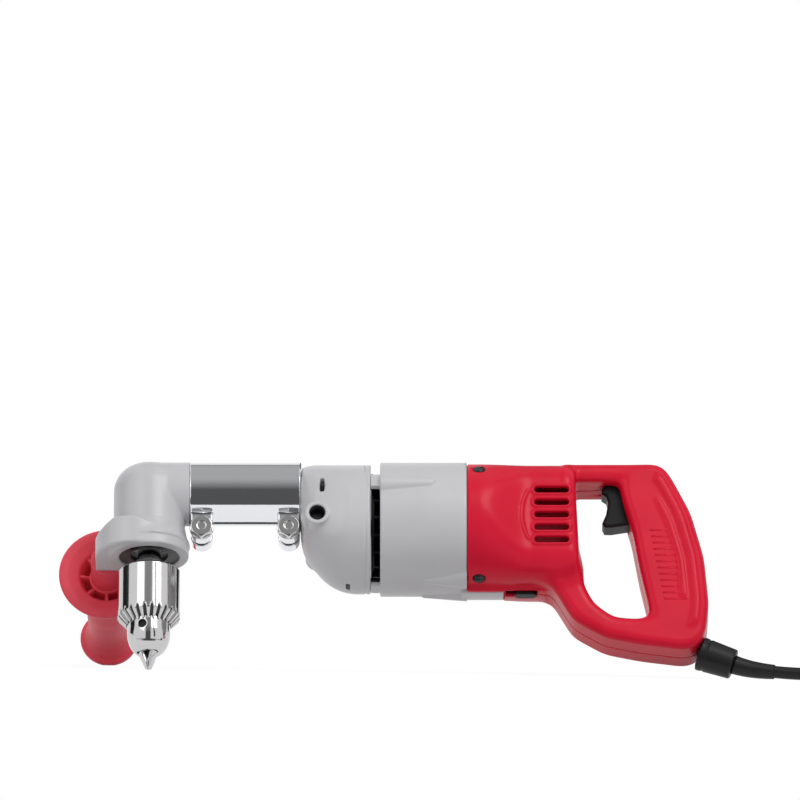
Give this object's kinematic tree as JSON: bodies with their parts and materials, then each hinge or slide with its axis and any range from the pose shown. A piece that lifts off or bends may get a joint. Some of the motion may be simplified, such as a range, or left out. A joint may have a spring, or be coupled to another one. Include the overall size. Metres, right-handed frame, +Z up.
{
  "type": "right angle drill",
  "caption": "Corded right angle drill: keyed chuck on a clamped swivelling angle head, side handle, geared motor body and a rear D-handle with trigger.",
  "frame": {"origin": "on the floor, under the middle of the tool's box without its cord", "axes": "+X from the chuck towards the D-handle, +Z up from the floor, +Y towards the side handle; the tool leans back on its jaws, side handle and cord guard"},
  "size_m": [0.7412, 0.2169, 0.1591],
  "materials": {
    "grey_paint": "satin light grey paint on cast aluminium",
    "chrome": "bright plated",
    "polished_steel": "polished",
    "steel": "ground",
    "dark_steel": "black oxide",
    "bronze": "sintered bronze",
    "copper": "varnished copper",
    "red_plastic": "semi-gloss moulded red",
    "guard_plastic": "semi-gloss moulded red",
    "black_plastic": "moulded black",
    "black_rubber": "moulded black"
  },
  "bodies": {
    "drill_body": {"coupling_sleeve": "chrome", "clamp_screws": "polished_steel", "clamp_nuts": "polished_steel", "gear_case": "grey_paint", "gear_case_screws": "dark_steel", "socket_plug": "dark_steel", "gear_plate": "grey_paint", "output_bearing": "steel", "spindle_bush": "bronze", "layshaft_bushes": "bronze", "motor_housing": "grey_paint", "stator_core": "dark_steel", "stator_coils": "copper", "armature_bearings": "steel", "end_frame": "black_plastic", "brush_holders": "bronze", "carbon_brushes": "black_plastic", "handle_shell_front": "red_plastic", "handle_shell_rear": "red_plastic", "housing_screws": "dark_steel", "shell_screws": "dark_steel", "switch_body": "black_plastic", "cord_guard": "black_rubber", "strain_relief": "black_rubber", "cord_run": "black_rubber", "cord_coil": "black_rubber", "cord_tie": "black_rubber", "plug_body": "black_rubber", "plug_blades": "steel"},
    "head": {"head_housing": "grey_paint", "bearing_retainer": "dark_steel", "input_bearings": "steel", "spindle_bearings": "steel", "side_handle_grip": "guard_plastic", "side_handle_stud": "polished_steel"},
    "input_shaft": {"input_shaft": "steel", "bevel_pinion": "dark_steel"},
    "chuck": {"chuck_spindle": "polished_steel", "bevel_gear": "dark_steel", "chuck_body": "polished_steel", "chuck_nose": "polished_steel"},
    "chuck_sleeve": {"chuck_sleeve": "polished_steel", "chuck_nut": "dark_steel"},
    "jaw_1": {"jaw_1": "dark_steel"},
    "jaw_2": {"jaw_2": "dark_steel"},
    "jaw_3": {"jaw_3": "dark_steel"},
    "output_spindle": {"output_spindle": "steel", "spindle_gear": "dark_steel"},
    "layshaft": {"layshaft": "dark_steel", "intermediate_gear": "dark_steel"},
    "armature": {"armature_shaft": "steel", "armature_core": "dark_steel", "armature_windings": "copper", "commutator": "copper", "cooling_fan": "black_plastic"},
    "trigger": {"trigger": "black_plastic"},
    "reversing_lever": {"reversing_lever": "black_plastic"}
  },
  "joints": [
    {"name": "armature_spin", "type": "hinge", "parent": "drill_body", "child": "armature", "pos_m": [0.01583, -0.05029, 0.10526], "axis": [0.9999, 0, 0.0152], "continuous": true},
    {"name": "layshaft_spin", "type": "hinge", "parent": "drill_body", "child": "layshaft", "pos_m": [-0.04428, -0.0334, 0.11188], "axis": [0.9999, 0, 0.0152], "continuous": true},
    {"name": "spindle_spin", "type": "hinge", "parent": "drill_body", "child": "output_spindle", "pos_m": [-0.08455, -0.03835, 0.12962], "axis": [0.9999, 0, 0.0152], "continuous": true},
    {"name": "head_swivel", "type": "hinge", "parent": "drill_body", "child": "head", "pos_m": [-0.15454, -0.03835, 0.12855], "axis": [0.9999, 0, 0.0152], "continuous": true},
    {"name": "input_spin", "type": "hinge", "parent": "head", "child": "input_shaft", "pos_m": [-0.14454, -0.03835, 0.1287], "axis": [0.9999, 0, 0.0152], "continuous": true},
    {"name": "chuck_spin", "type": "hinge", "parent": "head", "child": "chuck", "pos_m": [-0.18399, -0.05511, 0.09179], "axis": [-0.0138, 0.4192, 0.9078], "continuous": true},
    {"name": "sleeve_turn", "type": "hinge", "parent": "chuck", "child": "chuck_sleeve", "pos_m": [-0.18344, -0.07188, 0.05547], "axis": [-0.0138, 0.4192, 0.9078], "range_deg": [0, 3600]},
    {"name": "jaw_1_slide", "type": "slide", "parent": "chuck", "child": "jaw_1", "axis": [0.0537, 0.6038, 0.7954], "range_m": [0, 0.0289]},
    {"name": "jaw_2_slide", "type": "slide", "parent": "chuck", "child": "jaw_2", "axis": [-0.2329, 0.3625, 0.9024], "range_m": [0, 0.0289]},
    {"name": "jaw_3_slide", "type": "slide", "parent": "chuck", "child": "jaw_3", "axis": [0.1389, 0.2591, 0.9558], "range_m": [0, 0.0289]},
    {"name": "trigger_pull", "type": "slide", "parent": "drill_body", "child": "trigger", "axis": [0.9839, 0.0692, 0.1648], "range_m": [0, 0.007], "stiffness_N_per_m": 800, "springref_m": -0.005},
    {"name": "lever_slide", "type": "slide", "parent": "drill_body", "child": "reversing_lever", "axis": [-0.9999, 0, -0.0152], "range_m": [0, 0.006]}
  ],
  "couplings": [
    {"joint": "layshaft_spin", "follows": "armature_spin", "ratio": -0.32143},
    {"joint": "spindle_spin", "follows": "armature_spin", "ratio": 0.1148},
    {"joint": "input_spin", "follows": "armature_spin", "ratio": 0.1148},
    {"joint": "chuck_spin", "follows": "armature_spin", "ratio": 0.076531},
    {"joint": "jaw_1_slide", "follows": "sleeve_turn", "m_per_rad": 0.0004595},
    {"joint": "jaw_2_slide", "follows": "sleeve_turn", "m_per_rad": 0.0004595},
    {"joint": "jaw_3_slide", "follows": "sleeve_turn", "m_per_rad": 0.0004595}
  ]
}
